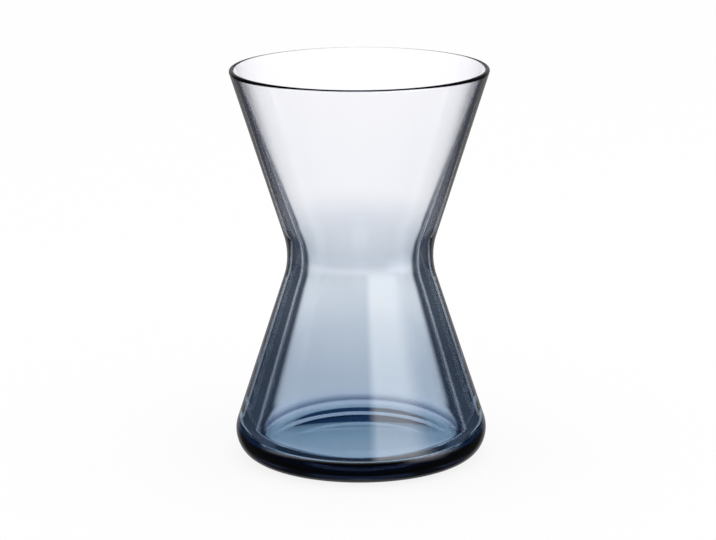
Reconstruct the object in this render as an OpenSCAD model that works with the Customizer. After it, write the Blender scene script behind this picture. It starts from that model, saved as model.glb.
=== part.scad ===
/* [Overall] */
// Height from the table to the top of the lip
height = 120; // [100:1:160]
// Outer diameter of the lip
rim_d = 78.4; // [64:0.2:96]
// Outer diameter of the base at its widest
base_d = 77.2; // [68:0.2:96]

/* [Waist] */
// Outer diameter at the narrowest point
waist_d = 44.6; // [36:0.2:56]
// Height of the narrowest point above the table
waist_z = 62.4; // [50:0.2:76]
// Radius that rounds the outside of the waist
waist_r = 22; // [8:0.2:28]
// Radius that rounds the throat inside the waist
throat_r = 24; // [8:0.2:30]
// How far the tightest point of the throat lies below that of the waist
throat_drop = 1.4; // [0:0.1:4]

/* [Glass] */
// Thickness of the fire-polished lip, rounded over to a full half circle
lip_t = 1.5; // [1:0.1:3]
// Thickness of the glass at the waist
waist_t = 4.1; // [2.4:0.1:6]
// Thickness of the side glass next to the floor
heel_t = 6.4; // [3.6:0.1:9]
// Thickness of the floor outside the hollow under it
floor_t = 6; // [3.4:0.1:10]
// Radius of the fillet between the inner wall and the floor
corner_r = 3; // [1.5:0.1:7]

/* [Base] */
// Radius of the heel, where the lower cone starts to roll under
heel_r = 9.1; // [7:0.1:12]
// Radius that carries the heel round to the table
foot_r = 6.4; // [4:0.1:6.8]
// Angle below level at which the heel hands over to the foot
heel_turn = 33; // [20:1:50]
// Width of the flat ring that stands on the table
ring_w = 4; // [2:0.1:8]
// Height of the shallow hollow under the base
hollow_h = 1.4; // [0.6:0.1:2.4]

/* [Hidden] */
$fn = 128;
// Steps and reach, in radii, of the fan that cuts one rounding out of its circle
fan_steps = 6;
fan_reach_share = 1.5;
// How far a rounding bites past the straight glass beside it, so that both share a clean edge,
// and the angle by which its fan runs on at each end to hold that bite
lap = 0.001;
lap_turn = 5;

// Each rounding of the wall is [centre radius, centre height, radius].
// The radius is negative where the rounding hollows the glass.
heel_step = heel_r - foot_r;
heel_c = base_d / 2 - heel_r;
foot = [heel_c + heel_step * cos(heel_turn), foot_r, foot_r];
heel = [heel_c, foot_r + heel_step * sin(heel_turn), heel_r];
waist = [waist_d / 2 + waist_r, waist_z, -waist_r];
lip = [rim_d / 2 - lip_t / 2, height - lip_t / 2, lip_t / 2];
throat = [waist_d / 2 - waist_t + throat_r, waist_z - throat_drop, throat_r];
corner = [base_d / 2 - heel_t - corner_r, floor_t + corner_r, -corner_r];

// Angle of the outward normal on the straight glass that touches rounding a and then b,
// counted from straight down, with the glass on the left of the way from a to b
function lean(a, b) =
    let (way = [b[0] - a[0], b[1] - a[1]])
    let (turn = atan2(way[1], way[0]) - acos((a[2] - b[2]) / norm(way)))
    turn < -90 ? turn + 360 : turn;

// Point of rounding a where the outward normal has the given angle
function at(a, angle) = [a[0] + a[2] * cos(angle), a[1] + a[2] * sin(angle)];

lower_lean = lean(heel, waist);
upper_lean = lean(waist, lip);
inner_upper_lean = lean(lip, throat);
inner_lower_lean = lean(throat, corner);

// Each bend is [rounding, normal where it starts, normal where it ends],
// from the table up the outside, over the lip and down the inside to the floor.
foot_bend = [foot, -90, -heel_turn];
heel_bend = [heel, -heel_turn, lower_lean];
waist_bend = [waist, lower_lean, upper_lean];
lip_bend = [lip, upper_lean, inner_upper_lean];
throat_bend = [throat, inner_upper_lean, inner_lower_lean];
corner_bend = [corner, inner_lower_lean, 90];

// Sphere that hollows the underside inside the standing ring
ring_in = foot[0] - ring_w;
hollow_r = (ring_in * ring_in + hollow_h * hollow_h) / (2 * hollow_h);

// The sliver between a bend's arc and its chord, run on at each end into the glass beside it
module sliver(bend, bite = lap, run_in = lap_turn) {
    rounding = bend[0];
    fan = [rounding[0], rounding[1], fan_reach_share * rounding[2]];
    way = sign(bend[2] - bend[1]);
    first = bend[1] - way * run_in;
    last = bend[2] + way * lap_turn;
    intersection() {
        translate([rounding[0], rounding[1]]) circle(abs(rounding[2]) + bite);
        polygon(concat(
            [at(rounding, first)],
            [for (i = [0:fan_steps]) at(fan, first + i * (last - first) / fan_steps)],
            [at(rounding, last)]
        ));
    }
}

// Right half of the glass cut through its axis, with a chord across each bend
module chord_section() {
    polygon(concat(
        [[0, 0], at(foot, -90)],
        [
            for (bend = [heel_bend, waist_bend, lip_bend, throat_bend, corner_bend])
                for (end = [1, 2]) at(bend[0], bend[end])
        ],
        [[0, floor_t]]
    ));
}

// The same half section with its bends rounded, cut off level at the table and hollowed below
module section() {
    difference() {
        union() {
            chord_section();
            sliver(foot_bend, bite = 2 * lap);
            sliver(heel_bend, run_in = 0);
            for (bend = [lip_bend, throat_bend]) sliver(bend);
        }
        for (bend = [waist_bend, corner_bend]) sliver(bend);
        translate([0, -base_d]) square(base_d);
        translate([0, hollow_h - hollow_r]) circle(hollow_r);
    }
}

// The whole vase is one piece of blue glass that clears towards the lip
module vase_body() {
    color([0.56, 0.67, 0.80, 0.55]) rotate_extrude() section();
}

vase_body();
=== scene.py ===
import math

import bpy
import numpy as np
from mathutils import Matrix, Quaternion, Vector


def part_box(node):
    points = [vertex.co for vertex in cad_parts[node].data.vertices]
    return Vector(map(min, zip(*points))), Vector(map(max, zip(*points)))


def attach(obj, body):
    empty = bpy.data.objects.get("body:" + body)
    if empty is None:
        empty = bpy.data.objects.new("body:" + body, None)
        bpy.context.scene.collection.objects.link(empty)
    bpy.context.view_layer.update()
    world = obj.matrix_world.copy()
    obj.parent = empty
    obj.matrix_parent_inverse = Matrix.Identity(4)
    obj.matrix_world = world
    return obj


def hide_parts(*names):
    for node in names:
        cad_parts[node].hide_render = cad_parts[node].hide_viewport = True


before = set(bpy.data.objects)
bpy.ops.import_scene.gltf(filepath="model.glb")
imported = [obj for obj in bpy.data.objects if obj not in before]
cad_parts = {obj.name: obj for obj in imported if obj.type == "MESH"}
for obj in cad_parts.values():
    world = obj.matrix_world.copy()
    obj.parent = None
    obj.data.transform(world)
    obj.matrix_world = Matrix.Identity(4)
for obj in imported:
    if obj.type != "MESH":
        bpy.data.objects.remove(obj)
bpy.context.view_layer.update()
glassLow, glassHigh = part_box("vase_body")
mm = 0.001

# The blown glass
# Millimetres and degrees. The height and the lip's width come from the frame.
glassForm = {
    "baseDiameter": 77.2,
    "waistDiameter": 44.6,
    "waistHeight": 62.4,
    "waistRounding": 22.0,
    "throatRounding": 24.0,
    "throatDrop": 1.4,
    "lipThickness": 1.5,
    "waistThickness": 4.1,
    "heelThickness": 6.4,
    "floorThickness": 6.0,
    "cornerRounding": 3.0,
    "heelRounding": 9.1,
    "footRounding": 6.4,
    "heelTurn": 33.0,
    "ringWidth": 4.0,
    "hollowHeight": 1.4,
    "aroundCount": 768,
    "straightStep": 9.0,
    "straightEnd": 0.15,
    "straightLeast": 0.45,  # shorter straight glass gets no rows of its own
    "sameSpot": 0.001,  # points closer than this are one
    "arcStep": 0.55,
    "arcTurns": (3.0, 12.0),
    "hollowRows": 8,
    "lipBlendRows": 9,
}


def leanBetween(first, second):
    # angle of the outward normal on the straight glass that touches both roundings,
    # counted from level: -90 points straight down
    wayR, wayZ = second[0] - first[0], second[1] - first[1]
    apart = math.hypot(wayR, wayZ)
    lean = math.degrees(math.atan2(wayZ, wayR) - math.acos((first[2] - second[2]) / apart))
    return lean + 360 if lean < -90 else lean


def arcPoints(form, arc, start, end):
    # centre + radius * (cos a, sin a), with a the outward normal's angle from level;
    # a hollow rounding has a negative radius
    least, most = form["arcTurns"]
    turn = min(max(math.degrees(form["arcStep"] / abs(arc[2])), least), most)
    count = max(int(abs(end - start) / turn), 2)
    a = np.radians(np.linspace(start, end, count + 1))
    return np.stack([arc[0] + arc[2] * np.cos(a), arc[1] + arc[2] * np.sin(a)], 1)


def glassProfile(form, height, lipRadius):
    # half section from the centre of the underside up the outside, over the lip and down the inside:
    # arcs joined by their common tangents, as rows of (radius, height) in millimetres
    heelCentre = form["baseDiameter"] / 2 - form["heelRounding"]
    heelStep = form["heelRounding"] - form["footRounding"]
    heelTurn = math.radians(form["heelTurn"])
    waistRadius = form["waistDiameter"] / 2
    throatRadius = waistRadius - form["waistThickness"]
    floorRadius = form["baseDiameter"] / 2 - form["heelThickness"]
    lip = form["lipThickness"] / 2
    throat = form["throatRounding"]
    corner = form["cornerRounding"]
    footR, footZ = heelCentre + heelStep * math.cos(heelTurn), form["footRounding"]
    chain = [
        (heelCentre, footZ + heelStep * math.sin(heelTurn), form["heelRounding"]),
        (waistRadius + form["waistRounding"], form["waistHeight"], -form["waistRounding"]),
        (lipRadius - lip, height - lip, lip),
        (throatRadius + throat, form["waistHeight"] - form["throatDrop"], throat),
        (floorRadius - corner, form["floorThickness"] + corner, -corner),
    ]
    leans = [leanBetween(first, second) for first, second in zip(chain, chain[1:])]
    turns = [-form["heelTurn"]] + leans + [90.0]
    ringInner = footR - form["ringWidth"]
    rise = form["hollowHeight"]
    sphere = (ringInner**2 + rise**2) / (2 * rise)
    r = np.linspace(0, ringInner, form["hollowRows"])
    pieces = [
        np.stack([r, rise - sphere + np.sqrt(sphere**2 - r**2)], 1),
        arcPoints(form, (footR, footZ, form["footRounding"]), -90.0, -form["heelTurn"]),
    ]
    pieces += [arcPoints(form, arc, *turns[k:k + 2]) for k, arc in enumerate(chain)]
    pieces.append(np.array([[0.0, form["floorThickness"]]]))
    line = [pieces[0]]
    for piece in pieces[1:]:
        way = piece[0] - line[-1][-1]
        span = np.hypot(*way)
        if span > form["straightLeast"]:
            # straight glass between two arcs, with a short row at each end, so that smooth shading
            # bends no light beyond the arcs
            rows = int(span / form["straightStep"]) + 2
            along = np.linspace(form["straightEnd"], span - form["straightEnd"], rows)
            line.append(line[-1][-1] + way / span * along[:, None])
        line.append(piece if span > form["sameSpot"] else piece[1:])
    return np.concatenate(line)


def revolve(name, profile, around):
    # (r cos t, r sin t, z) for every profile row and every angle t; its two end rows are the poles
    t = np.arange(around) * 2 * np.pi / around
    rings = profile[1:-1, :, None]
    grid = np.stack([rings[:, 0] * np.cos(t), rings[:, 0] * np.sin(t), rings[:, 1] + 0 * t], 2)
    poles = [[0, 0, profile[0, 1]], [0, 0, profile[-1, 1]]]
    coords = np.concatenate([grid.reshape(-1, 3), poles]) * mm
    rows = len(profile) - 2
    i, j = np.meshgrid(np.arange(rows - 1) * around, np.arange(around), indexing="ij")
    k = (j + 1) % around
    quads = np.stack([i + j, i + k, i + around + k, i + around + j], 2).reshape(-1)
    j, k = j[0], k[0]
    last = (rows - 1) * around
    under = np.stack([np.full(around, rows * around), k, j], 1).reshape(-1)
    floor = np.stack([np.full(around, rows * around + 1), last + j, last + k], 1).reshape(-1)
    corners = np.concatenate([np.full((rows - 1) * around, 4), np.full(2 * around, 3)])
    loops = np.concatenate([quads, under, floor])
    mesh = bpy.data.meshes.new(name)
    mesh.vertices.add(len(coords))
    mesh.vertices.foreach_set("co", coords.reshape(-1))
    mesh.loops.add(len(loops))
    mesh.loops.foreach_set("vertex_index", loops.astype(np.int32))
    mesh.polygons.add(len(corners))
    mesh.polygons.foreach_set("loop_start", (np.cumsum(corners) - corners).astype(np.int32))
    mesh.polygons.foreach_set("use_smooth", np.ones(len(corners), bool))
    mesh.update(calc_edges=True)
    piece = bpy.data.objects.new(name, mesh)
    bpy.context.scene.collection.objects.link(piece)
    return piece


def markOuterSkin(piece, profile, around, blendRows):
    # 1 on the outer skin and 0 on the inner one, blending over the rows at the lip
    row = np.arange(len(profile))
    skin = np.clip((np.argmax(profile[:, 1]) - row) / blendRows + 0.5, 0, 1)
    values = np.concatenate([np.repeat(skin[1:-1], around), skin[[0, -1]]])
    layer = piece.data.attributes.new("outerSkin", "FLOAT", "POINT")
    layer.data.foreach_set("value", values.astype(np.float32))


lipRadius = min(glassHigh.x, glassHigh.y, -glassLow.x, -glassLow.y)
profile = glassProfile(glassForm, glassHigh.z / mm, lipRadius / mm)
vase = revolve("blown_glass", profile, glassForm["aroundCount"])
markOuterSkin(vase, profile, glassForm["aroundCount"], glassForm["lipBlendRows"])
print("blown glass:", len(profile), "rows,", len(vase.data.polygons), "faces")

# Shader helpers


def emptyTree(owner):
    owner.use_nodes = True
    owner.node_tree.nodes.clear()
    return owner.node_tree


def calc(tree, operation, first, second=None):
    node = tree.nodes.new("ShaderNodeMath")
    node.operation = operation
    for socket, value in zip(node.inputs, (first, second)):
        if isinstance(value, (int, float)):
            socket.default_value = value
        elif value is not None:
            tree.links.new(value, socket)
    return node.outputs[0]


def product(tree, total, *factors):
    for factor in factors:
        total = calc(tree, "MULTIPLY", total, factor)
    return total


def opposite(tree, mask):
    # 1 - mask
    return calc(tree, "SUBTRACT", 1.0, mask)


def overHalf(tree, value):
    # 1 where value is past one half, else 0
    return calc(tree, "GREATER_THAN", value, 0.5)


def easeFrom(tree, value, start, end, low=0.0, high=1.0):
    # low below start, high past end, eased between; end may lie below start
    node = tree.nodes.new("ShaderNodeMapRange")
    node.interpolation_type = "SMOOTHSTEP"
    if end < start:
        start, end, low, high = end, start, high, low
    for name, setting in (("From Min", start), ("From Max", end), ("To Min", low), ("To Max", high)):
        node.inputs[name].default_value = setting
    tree.links.new(value, node.inputs["Value"])
    return node.outputs[0]


def bandOf(tree, value, edges):
    # 0 up to the first edge, 1 from the second to the third and 0 past the last, eased between
    a, b, c, d = edges
    return product(tree, easeFrom(tree, value, a, b), easeFrom(tree, value, d, c))


def blendColour(tree, factor, first, second, blend="MIX"):
    node = tree.nodes.new("ShaderNodeMix")
    node.data_type = "RGBA"
    node.blend_type = blend
    sockets = [node.inputs[0], node.inputs[6], node.inputs[7]]
    for socket, value in zip(sockets, (factor, first, second)):
        if isinstance(value, tuple):
            socket.default_value = (*value, 1)
        elif isinstance(value, float):
            socket.default_value = value
        else:
            tree.links.new(value, socket)
    return node.outputs[2]


def colourRamp(tree, value, stops):
    node = tree.nodes.new("ShaderNodeValToRGB")
    node.color_ramp.interpolation = "EASE"
    elements = node.color_ramp.elements
    while len(elements) < len(stops):
        elements.new(1.0)
    for element, (place, colour) in zip(elements, stops):
        element.position = place
        element.color = (*colour, 1)
    tree.links.new(value, node.inputs[0])
    return node.outputs[0]


# The glass itself
# A tint is what light keeps of itself where it crosses the skin twice, but the shades of the sides and
# the corner, heel and lip colours are painted shade. The places in bodyTints are shares of the vase's
# height, and all other heights, depths and radii are in metres. Facing runs from 0 where the glass is
# seen square on to 1 at its outline. A pair is where an effect starts and where it is full. Four values
# are a band: it starts, is full, starts to fade and ends.
glassLook = {
    "refraction": 1.46,
    "bodyTints": [
        (0.00, (0.30, 0.42, 0.60)),
        (0.10, (0.44, 0.54, 0.64)),
        (0.25, (0.44, 0.52, 0.60)),
        (0.43, (0.76, 0.82, 0.86)),
        (0.54, (0.54, 0.60, 0.66)),
        (0.65, (1.00, 1.00, 1.00)),
    ],
    "facingBlend": 0.5,
    "waistHeights": (0.060, 0.070),
    # painted shade on the sides that turn away from the eye, below and above the waist
    "lowerShade": {"facing": (0.24, 0.41), "tint": (0.42, 0.42, 0.44)},
    "upperShade": {"facing": (0.46, 0.66), "tint": (0.20, 0.20, 0.22)},
    "undersideTint": (0.19, 0.32, 0.46),
    "undersideHeights": (0.004, 0.002),
    "undersideRadii": (0.0316, 0.0306),
    "grazeTint": (0.12, 0.26, 0.40),
    "grazeFacing": (0.20, 0.25),
    "floorHeight": glassForm["floorThickness"] * mm,
    # painted shade on the inner rounding beside the floor
    "cornerShade": (0.12, 0.17, 0.26),
    "cornerAboveFloor": (0.0, 0.0003, 0.0003, 0.0023),
    # painted shade, nearly black, on the heel
    "heelShade": (0.001, 0.0015, 0.004),
    "heelHeights": (0.0084, 0.0080),
    # painted shade on the near half of the lip
    "lipShade": (0.10, 0.10, 0.11),
    "lipDepths": (0.0005, 0.0003),
    "absorbedColour": (0.25, 0.40, 0.55),
    "absorbedDensity": 20.0,
}


def readSurface(tree, look):
    # where a ray meets the glass, by which skin, and whether it enters or leaves
    split = tree.nodes.new("ShaderNodeSeparateXYZ")
    tree.links.new(tree.nodes.new("ShaderNodeTexCoord").outputs["Object"], split.inputs[0])
    x, y, z = split.outputs
    facing = tree.nodes.new("ShaderNodeLayerWeight")
    facing.inputs["Blend"].default_value = look["facingBlend"]
    skin = tree.nodes.new("ShaderNodeAttribute")
    skin.attribute_name = "outerSkin"
    leaving = tree.nodes.new("ShaderNodeNewGeometry").outputs["Backfacing"]
    return {
        "height": z,
        "radius": calc(tree, "SQRT", calc(tree, "ADD", product(tree, x, x), product(tree, y, y))),
        "facing": facing.outputs["Facing"],
        "outer": skin.outputs["Fac"],
        "inner": opposite(tree, skin.outputs["Fac"]),
        "leaving": leaving,
        "entering": opposite(tree, leaving),
    }


def wallTintAndShade(tree, look, at, top):
    # the blue deepens towards the base, and painted shade dims the sides that turn away from the eye,
    # above the waist by one amount and below it by another
    tint = colourRamp(tree, calc(tree, "DIVIDE", at["height"], top), look["bodyTints"])
    above = easeFrom(tree, at["height"], *look["waistHeights"])
    for shade, part in ((look["lowerShade"], opposite(tree, above)), (look["upperShade"], above)):
        side = product(tree, easeFrom(tree, at["facing"], *shade["facing"]), part, at["entering"])
        tint = blendColour(tree, side, tint, shade["tint"], "MULTIPLY")
    return tint


def undersideTint(tree, look, at):
    # light that leaves by the underside at a slant has crossed more glass
    graze = product(tree, easeFrom(tree, at["facing"], *look["grazeFacing"]), at["leaving"])
    return blendColour(tree, graze, look["undersideTint"], look["grazeTint"])


def buildGlass(look, top):
    material = bpy.data.materials.new("blue_glass")
    tree = emptyTree(material)
    link = tree.links.new
    at = readSurface(tree, look)

    # the outer skin carries the tint, and the inner one is clear
    low = easeFrom(tree, at["height"], *look["undersideHeights"])
    under = product(tree, low, easeFrom(tree, at["radius"], *look["undersideRadii"]))
    tint = blendColour(tree, under, wallTintAndShade(tree, look, at, top), undersideTint(tree, look, at))
    tint = blendColour(tree, at["outer"], (1.0, 1.0, 1.0), tint)

    # painted shade darkens the inner rounding beside the floor, where light that enters crosses the
    # thickest glass
    aboveFloor = calc(tree, "SUBTRACT", at["height"], look["floorHeight"])
    corner = product(tree, bandOf(tree, aboveFloor, look["cornerAboveFloor"]), at["entering"], at["inner"])
    tint = blendColour(tree, corner, tint, look["cornerShade"])

    # painted shade, nearly black, on the heel, where light that enters crosses the whole base
    heel = easeFrom(tree, at["height"], *look["heelHeights"])
    heel = product(tree, heel, opposite(tree, under), at["entering"], at["outer"])
    seen = blendColour(tree, heel, tint, look["heelShade"])

    # painted shade makes the near half of the lip a thin black line
    lip = easeFrom(tree, at["height"], *[top - depth for depth in look["lipDepths"]])
    lip = product(tree, lip, at["entering"], overHalf(tree, at["outer"]))
    seen = blendColour(tree, lip, seen, look["lipShade"])

    shader = tree.nodes.new("ShaderNodeBsdfPrincipled")
    shader.inputs["Transmission Weight"].default_value = 1.0
    shader.inputs["Roughness"].default_value = 0.0
    shader.inputs["IOR"].default_value = look["refraction"]
    link(seen, shader.inputs["Base Color"])
    clear = tree.nodes.new("ShaderNodeBsdfTransparent")  # what the shadow is made with
    link(tint, clear.inputs["Color"])
    shown = tree.nodes.new("ShaderNodeMixShader")
    link(tree.nodes.new("ShaderNodeLightPath").outputs["Is Shadow Ray"], shown.inputs[0])
    link(shader.outputs[0], shown.inputs[1])
    link(clear.outputs[0], shown.inputs[2])
    soak = tree.nodes.new("ShaderNodeVolumeAbsorption")
    soak.inputs["Color"].default_value = (*look["absorbedColour"], 1)
    soak.inputs["Density"].default_value = look["absorbedDensity"]
    output = tree.nodes.new("ShaderNodeOutputMaterial")
    link(shown.outputs[0], output.inputs["Surface"])
    link(soak.outputs[0], output.inputs["Volume"])
    return material


vase.data.materials.append(buildGlass(glassLook, glassHigh.z))
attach(vase, "root")
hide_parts("vase_body")
print("glass finish")

# Floor
# Metres. The glow is the share of the floor that the camera sees as white light of its own. The rest
# of it is matt, and so is all of it for other rays.
floorLook = {
    "halfWidth": 6.0,
    "drop": 0.0002,
    "colour": (0.9, 0.9, 0.9),
    "glow": 0.85,
}


def buildFloor(look):
    half, level = look["halfWidth"], -look["drop"]
    mesh = bpy.data.meshes.new("floor")
    corners = [(-half, -half, level), (half, -half, level), (half, half, level), (-half, half, level)]
    mesh.from_pydata(corners, [], [(0, 1, 2, 3)])
    floor = bpy.data.objects.new("floor", mesh)
    bpy.context.scene.collection.objects.link(floor)
    material = bpy.data.materials.new("floor_white")
    tree = emptyTree(material)
    link = tree.links.new
    matt = tree.nodes.new("ShaderNodeBsdfDiffuse")
    matt.inputs["Color"].default_value = (*look["colour"], 1)
    glow = tree.nodes.new("ShaderNodeEmission")
    camera = tree.nodes.new("ShaderNodeLightPath").outputs["Is Camera Ray"]
    mix = tree.nodes.new("ShaderNodeMixShader")
    link(calc(tree, "MULTIPLY", camera, look["glow"]), mix.inputs[0])
    link(matt.outputs[0], mix.inputs[1])
    link(glow.outputs[0], mix.inputs[2])
    output = tree.nodes.new("ShaderNodeOutputMaterial")
    link(mix.outputs[0], output.inputs["Surface"])
    mesh.materials.append(material)
    floor.visible_transmission = False  # through the glass and in it, the studio stands for it
    floor.visible_glossy = False


buildFloor(floorLook)
print("floor")

# Studio
# Angles in degrees: a turn counts from the front towards the right, and a rise from level upwards.
# Pairs and bands are written as in glassLook. Only rays that have met the glass see more than the
# background.
studioLook = {
    "background": (1.0, 1.0, 1.0),
    # white panels with dark gaps, seen straight through the glass
    "straight": {
        "count": 8,
        "halves": (14.0, 19.0),
        "colour": (1.12, 1.105, 1.135),
        "gap": (0.09, 0.105, 0.14),
    },
    # the panels that light meets once it has bounced in the glass, and what lies past their rises
    "bounced": {
        "count": 4,
        "halves": (12.0, 17.0),
        "colour": (1.15, 1.15, 1.20),
        "gap": (0.135, 0.16, 0.205),
        "upperGap": (0.20, 0.215, 0.25),  # for rays that have gone through the upper cone's sides
        "upperRises": (-32.5, -29.0, -22.0, -19.0),
        "rises": (-41.0, -36.0, 6.5, 11.5),
        "above": (0.02, 0.07, 0.16),
        "below": (0.03, 0.05, 0.075),
    },
    # what the near skin mirrors: a dim room that is lighter far round to the back, where the outline
    # mirrors it, then softboxes and a bright horizon
    "room": (0.04, 0.04, 0.04),
    "roomBack": (0.30, 0.30, 0.30),
    "roomBackTurns": (140.0, 162.0),
    "softboxes": [
        {
            "turns": (6.0, 18.0, 44.0, 76.0),
            "rises": (-16.0, -2.0, 22.5, 25.5),
            "colour": (5.4, 5.4, 5.3),
        },
        {
            "turns": (17.0, 25.0, 42.0, 58.0),
            "rises": (20.2, 21.0, 21.95, 22.3),
            "colour": (5.8, 5.15, 4.1),
        },
        {
            "turns": (35.0, 55.0, 60.0, 95.0),
            "rises": (-34.0, -18.0, -10.0, -2.0),
            "colour": (2.4, 2.4, 2.7),
        },
    ],
    "horizonLevel": 2.2,
    "horizonRise": -13.0,
    "horizonHalf": 9.0,
    "horizonTurns": (110.0, 70.0),
}


def radians(degrees):
    return [math.radians(angle) for angle in degrees]


def inGap(tree, turn, panels):
    # 0 on a panel and 1 in the gap between two, by the angle from the nearest panel's middle
    aside = calc(tree, "PINGPONG", turn, math.pi / panels["count"])
    return easeFrom(tree, aside, *radians(panels["halves"]))


def lightThroughGlass(tree, look, path, turn, rise):
    straight, bounced = look["straight"], look["bounced"]
    direct = blendColour(tree, inGap(tree, turn, straight), straight["colour"], straight["gap"])
    upper = bandOf(tree, rise, radians(bounced["upperRises"]))
    gap = blendColour(tree, upper, bounced["gap"], bounced["upperGap"])
    panels = blendColour(tree, inGap(tree, turn, bounced), bounced["colour"], gap)
    skyward = calc(tree, "GREATER_THAN", rise, 0.0)
    beyond = blendColour(tree, skyward, bounced["below"], bounced["above"])
    afterBounce = blendColour(tree, bandOf(tree, rise, radians(bounced["rises"])), beyond, panels)
    return blendColour(tree, overHalf(tree, path.outputs["Glossy Depth"]), direct, afterBounce)


def lightMirrored(tree, look, path, turn, rise):
    turned = calc(tree, "ABSOLUTE", turn)
    back = easeFrom(tree, turned, *radians(look["roomBackTurns"]))
    mirrored = blendColour(tree, back, look["room"], look["roomBack"])
    outside = opposite(tree, overHalf(tree, path.outputs["Transmission Depth"]))
    for softbox in look["softboxes"]:
        across = bandOf(tree, turn, radians(softbox["turns"]))
        shape = product(tree, outside, across, bandOf(tree, rise, radians(softbox["rises"])))
        mirrored = blendColour(tree, shape, mirrored, softbox["colour"])
    away = calc(tree, "ABSOLUTE", calc(tree, "SUBTRACT", rise, math.radians(look["horizonRise"])))
    glow = easeFrom(tree, away, math.radians(look["horizonHalf"]), 0.0, 0.0, look["horizonLevel"])
    glow = product(tree, glow, easeFrom(tree, turned, *radians(look["horizonTurns"])))
    return blendColour(tree, 1.0, mirrored, glow, "ADD")


def buildStudio(look):
    world = bpy.data.worlds.new("studio")
    bpy.context.scene.world = world
    tree = emptyTree(world)
    link = tree.links.new
    split = tree.nodes.new("ShaderNodeSeparateXYZ")
    link(tree.nodes.new("ShaderNodeTexCoord").outputs["Generated"], split.inputs[0])
    path = tree.nodes.new("ShaderNodeLightPath")
    turn = calc(tree, "ARCTAN2", split.outputs["X"], calc(tree, "MULTIPLY", split.outputs["Y"], -1.0))
    rise = calc(tree, "ARCSINE", split.outputs["Z"])
    through = lightThroughGlass(tree, look, path, turn, rise)
    mirrored = lightMirrored(tree, look, path, turn, rise)
    seen = blendColour(tree, path.outputs["Is Transmission Ray"], mirrored, through)
    metGlass = calc(tree, "MAXIMUM", path.outputs["Is Glossy Ray"], path.outputs["Is Transmission Ray"])
    sky = tree.nodes.new("ShaderNodeBackground")
    link(blendColour(tree, metGlass, look["background"], seen), sky.inputs["Color"])
    output = tree.nodes.new("ShaderNodeOutputWorld")
    link(sky.outputs[0], output.inputs["Surface"])


buildStudio(studioLook)
print("studio")

# Lamp
# Degrees, metres and watts. The glass neither mirrors the lamp nor shows it.
lampLook = {
    "azimuth": 35.0,
    "elevation": 60.0,
    "distance": 1.4,
    "size": 1.2,
    "power": 3.0,
}


def buildLamp(look):
    data = bpy.data.lights.new("overhead", "AREA")
    data.shape = "DISK"
    data.size = look["size"]
    data.energy = look["power"]
    lamp = bpy.data.objects.new("overhead", data)
    a, e = math.radians(look["azimuth"]), math.radians(look["elevation"])
    way = Vector((math.sin(a) * math.cos(e), -math.cos(a) * math.cos(e), math.sin(e)))
    lamp.location = way * look["distance"]
    lamp.rotation_mode = "QUATERNION"
    lamp.rotation_quaternion = way.to_track_quat("Z", "Y")
    lamp.visible_glossy = False
    lamp.visible_transmission = False
    bpy.context.scene.collection.objects.link(lamp)


buildLamp(lampLook)
print("lamp")

# Camera
# Metres, degrees, pixels and, for the sensor, millimetres. The roll turns the picture.
cameraLook = {
    "distance": 0.850,
    "elevation": 13.82,
    "targetHeight": 0.05745,
    "targetSide": -0.0007,
    "focalPixels": 2782.0,
    "frameWidth": 716,
    "sensor": 36.0,
    "roll": -0.3,
}


def buildCamera(look):
    data = bpy.data.cameras.new("photo_view")
    data.sensor_width = look["sensor"]
    data.lens = look["focalPixels"] / look["frameWidth"] * look["sensor"]
    camera = bpy.data.objects.new("photo_view", data)
    e = math.radians(look["elevation"])
    back = Vector((0, -math.cos(e), math.sin(e)))
    camera.location = Vector((look["targetSide"], 0, look["targetHeight"])) + back * look["distance"]
    camera.rotation_mode = "QUATERNION"
    roll = Quaternion((0, 0, 1), math.radians(look["roll"]))
    camera.rotation_quaternion = back.to_track_quat("Z", "Y") @ roll
    bpy.context.scene.collection.objects.link(camera)
    bpy.context.scene.camera = camera


buildCamera(cameraLook)
print("camera")

# Light paths
# Light crosses four skins on its way through and bounces between them, so it is followed for long.
bounces = {
    "all": 24,
    "mirrored": 16,
    "through": 24,
}
scene = bpy.context.scene
scene.view_settings.view_transform = "Standard"
scene.cycles.max_bounces = bounces["all"]
scene.cycles.glossy_bounces = bounces["mirrored"]
scene.cycles.transmission_bounces = bounces["through"]
print("light paths")
